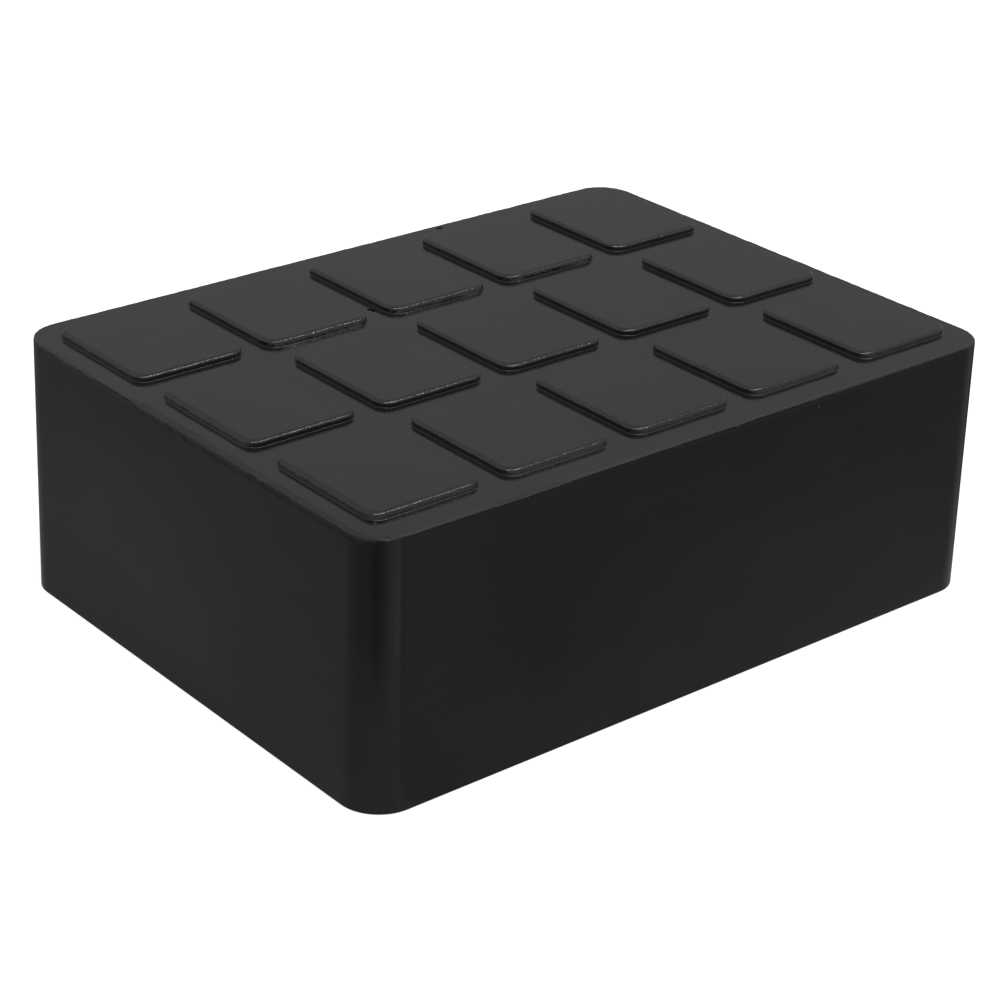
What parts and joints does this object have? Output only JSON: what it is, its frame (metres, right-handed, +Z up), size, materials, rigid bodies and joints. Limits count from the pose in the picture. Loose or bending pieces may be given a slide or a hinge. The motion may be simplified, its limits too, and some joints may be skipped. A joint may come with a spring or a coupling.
{
  "type": "rubber lifting block",
  "caption": "Thick moulded rubber block with slightly drafted walls and a grid of raised rectangular pads on top, laid on a jacking beam to cushion and grip the vehicle.",
  "frame": {"origin": "centre of the flat underside", "axes": "+X along the block's length, +Y across its width, +Z up through the raised pads"},
  "size_m": [0.1614, 0.1214, 0.0577],
  "materials": {
    "rubber": "semi-gloss black moulded rubber"
  },
  "bodies": {
    "root": {"rubber_pad": "rubber"}
  },
  "joints": []
}
